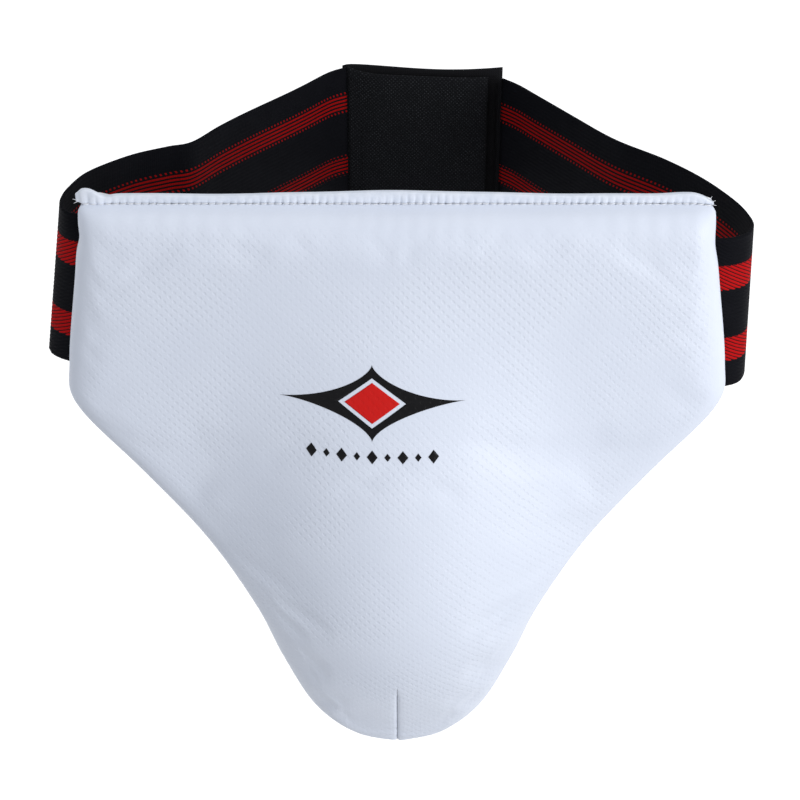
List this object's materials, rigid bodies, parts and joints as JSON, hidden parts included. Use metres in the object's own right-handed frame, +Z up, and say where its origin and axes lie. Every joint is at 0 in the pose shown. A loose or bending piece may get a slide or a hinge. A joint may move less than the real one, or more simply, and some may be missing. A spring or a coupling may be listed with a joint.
{
  "type": "groin protector",
  "caption": "White padded groin protector with a rigid cup inside, an embossed cover, and a wide black and red elastic waistband closed behind by hook and loop",
  "frame": {"origin": "on the wearer's side of the lining, in the middle of the pad's width, at the middle of the waistband's height", "axes": "+Y points from the pad back to the wearer, -Y is the pad's front; +Z is up as worn; +X is to the right as the front is looked at"},
  "size_m": [0.3262, 0.2679, 0.297],
  "materials": {
    "embossed_cover": "satin",
    "dense_foam": "matte",
    "soft_foam": "matte",
    "cup_plastic": "satin",
    "lining_cloth": "matte",
    "striped_elastic": "matte",
    "loop_pile": "matte",
    "hook_tape": "matte",
    "black_webbing": "matte",
    "white_thread": "matte",
    "black_thread": "matte"
  },
  "bodies": {
    "pad": {"front_cover": "embossed_cover", "top_hem": "embossed_cover", "foam_core": "dense_foam", "backing_foam": "soft_foam", "hard_cup": "cup_plastic", "cup_rim_cushion": "soft_foam", "back_lining": "lining_cloth", "hem_stitching": "white_thread", "dart_stitching": "white_thread", "left_strap_anchor": "striped_elastic", "right_strap_anchor": "striped_elastic", "left_anchor_stitching": "black_thread", "right_anchor_stitching": "black_thread"},
    "left_band": {"left_strap": "striped_elastic", "loop_tab": "loop_pile", "loop_tab_stitching": "black_thread"},
    "right_band": {"right_strap": "striped_elastic"},
    "closure": {"hook_patch": "hook_tape", "strap_tail": "black_webbing", "hook_patch_stitching": "black_thread"}
  },
  "joints": [
    {"name": "right_strap_swing", "type": "hinge", "parent": "pad", "child": "right_band", "pos_m": [0.1492, 0.0003, 0], "axis": [0, 0, -1], "range_deg": [0, 90]},
    {"name": "left_strap_swing", "type": "hinge", "parent": "pad", "child": "left_band", "pos_m": [-0.1492, 0.0003, 0], "axis": [0, 0, 1], "range_deg": [0, 36]},
    {"name": "closure_peel", "type": "hinge", "parent": "right_band", "child": "closure", "pos_m": [0.057, 0.2092, 0], "axis": [0, 0, -1], "range_deg": [0, 150]}
  ],
  "couplings": [
    {"joint": "left_strap_swing", "follows": "right_strap_swing", "ratio": 0.4}
  ]
}
